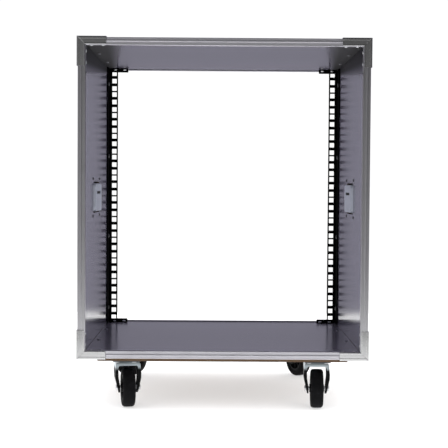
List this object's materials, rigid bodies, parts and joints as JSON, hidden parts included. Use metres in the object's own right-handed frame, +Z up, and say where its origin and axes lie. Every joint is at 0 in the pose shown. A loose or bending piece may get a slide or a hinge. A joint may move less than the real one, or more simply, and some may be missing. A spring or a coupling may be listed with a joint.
{
  "type": "equipment rack case",
  "caption": "Wheeled plywood case with aluminium edges, open at both ends, with pierced rails inside for rack equipment and folding side handles.",
  "frame": {"origin": "centre of the case's footprint, on the floor that the wheels stand on", "axes": "+Z up; -Y out of the pictured open end, the end away from the rack rails; +X to the right seen from that end"},
  "size_m": [0.5166, 0.453, 0.6608],
  "materials": {
    "grey_laminate": "phenolic film laminate, fine leather grain, satin",
    "brown_ply": "brown film-faced plywood with bare sealed edges",
    "aluminium_profile": "anodised, drawn along its length, satin",
    "bracket_steel": "zinc plated pressing, satin",
    "black_rail": "black powder coat, semi-matt",
    "zinc_plate": "blue-white zinc plate, satin",
    "pin_steel": "dark plated and greased",
    "bolt_steel": "bright zinc plate",
    "grip_rubber": "moulded matt black",
    "black_tyre": "black rubber, mould marks, dusty tread",
    "black_hub": "black moulded nylon"
  },
  "bodies": {
    "case": {"top_panel": "grey_laminate", "bottom_panel": "grey_laminate", "left_side_panel": "grey_laminate", "right_side_panel": "grey_laminate", "caster_board": "brown_ply", "front_top_profile": "aluminium_profile", "front_bottom_profile": "aluminium_profile", "front_left_profile": "aluminium_profile", "front_right_profile": "aluminium_profile", "rear_top_profile": "aluminium_profile", "rear_bottom_profile": "aluminium_profile", "rear_left_profile": "aluminium_profile", "rear_right_profile": "aluminium_profile", "top_left_edge_angle": "aluminium_profile", "top_right_edge_angle": "aluminium_profile", "bottom_left_edge_angle": "aluminium_profile", "bottom_right_edge_angle": "aluminium_profile", "bracket_front_top_left": "bracket_steel", "bracket_front_top_right": "bracket_steel", "bracket_front_bottom_left": "bracket_steel", "bracket_front_bottom_right": "bracket_steel", "bracket_rear_top_left": "bracket_steel", "bracket_rear_top_right": "bracket_steel", "bracket_rear_bottom_left": "bracket_steel", "bracket_rear_bottom_right": "bracket_steel", "rack_rail_left": "black_rail", "rack_rail_right": "black_rail", "handle_left_dish": "zinc_plate", "handle_left_spring": "pin_steel", "handle_right_dish": "zinc_plate", "handle_right_spring": "pin_steel", "caster_front_left_plate": "zinc_plate", "caster_front_left_kingpin": "pin_steel", "caster_front_right_plate": "zinc_plate", "caster_front_right_kingpin": "pin_steel", "caster_rear_left_plate": "zinc_plate", "caster_rear_left_kingpin": "pin_steel", "caster_rear_right_plate": "zinc_plate", "caster_rear_right_kingpin": "pin_steel"},
    "caster_front_left": {"caster_front_left_fork": "zinc_plate", "caster_front_left_axle": "bolt_steel"},
    "wheel_front_left": {"caster_front_left_tyre": "black_tyre", "caster_front_left_hub": "black_hub"},
    "caster_front_right": {"caster_front_right_fork": "zinc_plate", "caster_front_right_axle": "bolt_steel"},
    "wheel_front_right": {"caster_front_right_tyre": "black_tyre", "caster_front_right_hub": "black_hub"},
    "caster_rear_left": {"caster_rear_left_fork": "zinc_plate", "caster_rear_left_axle": "bolt_steel"},
    "wheel_rear_left": {"caster_rear_left_tyre": "black_tyre", "caster_rear_left_hub": "black_hub"},
    "caster_rear_right": {"caster_rear_right_fork": "zinc_plate", "caster_rear_right_axle": "bolt_steel"},
    "wheel_rear_right": {"caster_rear_right_tyre": "black_tyre", "caster_rear_right_hub": "black_hub"},
    "bail_left": {"handle_left_bail": "bolt_steel", "handle_left_grip": "grip_rubber"},
    "bail_right": {"handle_right_bail": "bolt_steel", "handle_right_grip": "grip_rubber"}
  },
  "joints": [
    {"name": "caster_front_left_swivel", "type": "hinge", "parent": "case", "child": "caster_front_left", "pos_m": [-0.1745, -0.15, 0.0812], "axis": [0, 0, 1], "continuous": true},
    {"name": "caster_front_left_roll", "type": "hinge", "parent": "caster_front_left", "child": "wheel_front_left", "pos_m": [-0.17068, -0.17167, 0.035], "axis": [0.9848, 0.1736, 0], "continuous": true},
    {"name": "caster_front_right_swivel", "type": "hinge", "parent": "case", "child": "caster_front_right", "pos_m": [0.172, -0.15, 0.0812], "axis": [0, 0, 1], "continuous": true},
    {"name": "caster_front_right_roll", "type": "hinge", "parent": "caster_front_right", "child": "wheel_front_right", "pos_m": [0.17104, -0.17198, 0.035], "axis": [0.999, -0.0436, 0], "continuous": true},
    {"name": "caster_rear_left_swivel", "type": "hinge", "parent": "case", "child": "caster_rear_left", "pos_m": [-0.172, 0.15, 0.0812], "axis": [0, 0, 1], "continuous": true},
    {"name": "caster_rear_left_roll", "type": "hinge", "parent": "caster_rear_left", "child": "wheel_rear_left", "pos_m": [-0.19267, 0.15752, 0.035], "axis": [-0.342, -0.9397, 0], "continuous": true},
    {"name": "caster_rear_right_swivel", "type": "hinge", "parent": "case", "child": "caster_rear_right", "pos_m": [0.172, 0.15, 0.0812], "axis": [0, 0, 1], "continuous": true},
    {"name": "caster_rear_right_roll", "type": "hinge", "parent": "caster_rear_right", "child": "wheel_rear_right", "pos_m": [0.16167, 0.16942, 0.035], "axis": [-0.8829, -0.4695, 0], "continuous": true},
    {"name": "handle_left_lift", "type": "hinge", "parent": "case", "child": "bail_left", "pos_m": [-0.248, -0.031, 0.3955], "axis": [0, 1, 0], "range_deg": [0, 90], "stiffness_Nm_per_rad": 0.08, "springref_deg": -34.38},
    {"name": "handle_right_lift", "type": "hinge", "parent": "case", "child": "bail_right", "pos_m": [0.248, -0.031, 0.3955], "axis": [0, -1, 0], "range_deg": [0, 90], "stiffness_Nm_per_rad": 0.08, "springref_deg": -34.38}
  ]
}
